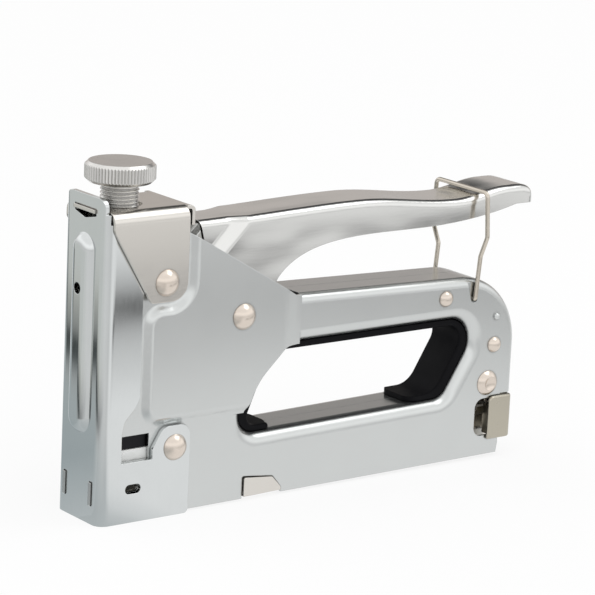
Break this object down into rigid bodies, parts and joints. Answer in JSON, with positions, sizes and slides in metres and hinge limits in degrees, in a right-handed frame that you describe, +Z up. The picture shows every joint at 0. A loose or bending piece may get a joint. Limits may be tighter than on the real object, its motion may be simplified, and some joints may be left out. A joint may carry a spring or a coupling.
{
  "type": "hand staple gun",
  "caption": "Pressed-steel hand staple gun with a squeeze lever, sprung hammer, tension screw, open hand grip, pull-out staple pusher and wire latch.",
  "frame": {"origin": "middle of the foot of the nose plate's front wall, where the tool is pressed on the work", "axes": "+X from the nose to the tail, +Y across to the tool's right-hand side, +Z up from the foot to the handle"},
  "size_m": [0.1824, 0.0344, 0.1172],
  "materials": {
    "zinc_sheet": "bright zinc plate, satin",
    "nose_sheet": "bright plate, soft gloss",
    "nickel_sheet": "nickel plate",
    "dull_nickel": "dull nickel plate",
    "nickel_rivet": "polished nickel plate",
    "handle_plate": "bright plate",
    "knob_steel": "turned and plated",
    "spring_wire": "plated spring wire",
    "inner_steel": "bare steel",
    "dark_steel": "blackened steel",
    "black_plastic": "satin moulding",
    "pale_plastic": "smooth moulding"
  },
  "bodies": {
    "body": {"left_shell": "zinc_sheet", "right_shell": "zinc_sheet", "nose_plate": "nose_sheet", "top_bracket": "nickel_sheet", "screw_bush": "nickel_sheet", "window_liner": "black_plastic", "nose_guide": "inner_steel", "hammer_bumper": "pale_plastic", "magazine_channel": "nickel_sheet", "staple_rail": "inner_steel", "drive_spring": "spring_wire", "handle_pivot_pin": "nickel_rivet", "bracket_rivet": "nickel_rivet", "nose_rivet": "nickel_rivet", "rail_rivets": "nickel_rivet", "tubular_rivet": "nickel_rivet"},
    "handle": {"handle_lever": "handle_plate", "lifter_arm": "inner_steel", "lifter_pin": "inner_steel"},
    "hammer": {"hammer_block": "dark_steel", "driver_blade": "inner_steel", "blade_rivets": "inner_steel"},
    "seat": {"spring_seat": "inner_steel"},
    "knob": {"tension_knob": "knob_steel"},
    "latch": {"wire_latch": "spring_wire"},
    "pusher": {"rear_catch": "dull_nickel", "pusher_rod": "inner_steel", "pusher_spring": "spring_wire"},
    "follower": {"pusher_block": "inner_steel"}
  },
  "joints": [
    {"name": "handle_squeeze", "type": "hinge", "parent": "body", "child": "handle", "pos_m": [0.0537, 0, 0.0642], "axis": [0, 1, 0], "range_deg": [0, 12.5], "stiffness_Nm_per_rad": 8, "springref_deg": -8.59},
    {"name": "hammer_lift", "type": "slide", "parent": "body", "child": "hammer", "axis": [0, 0, 1], "range_m": [0, 0.0093], "deforming": ["drive_spring"]},
    {"name": "tension_travel", "type": "slide", "parent": "body", "child": "seat", "axis": [0, 0, 1], "range_m": [-0.00254, 0.00381]},
    {"name": "tension_turn", "type": "hinge", "parent": "seat", "child": "knob", "pos_m": [0.0119, 0, 0.1], "axis": [0, 0, 1], "range_deg": [-720.1, 1080.1]},
    {"name": "latch_swing", "type": "hinge", "parent": "body", "child": "latch", "pos_m": [0.1537, 0, 0.0588], "axis": [0, 1, 0], "range_deg": [-16, 0]},
    {"name": "pusher_pull", "type": "slide", "parent": "body", "child": "pusher", "axis": [1, 0, 0], "range_m": [0, 0.1]},
    {"name": "pusher_feed", "type": "slide", "parent": "pusher", "child": "follower", "axis": [1, 0, 0], "range_m": [0, 0.06], "stiffness_N_per_m": 60, "springref_m": -0.02, "deforming": ["pusher_spring"]}
  ],
  "couplings": [
    {"joint": "hammer_lift", "follows": "handle_squeeze", "m_per_rad": 0.0418},
    {"joint": "tension_turn", "follows": "tension_travel", "rad_per_m": 4947.4}
  ]
}
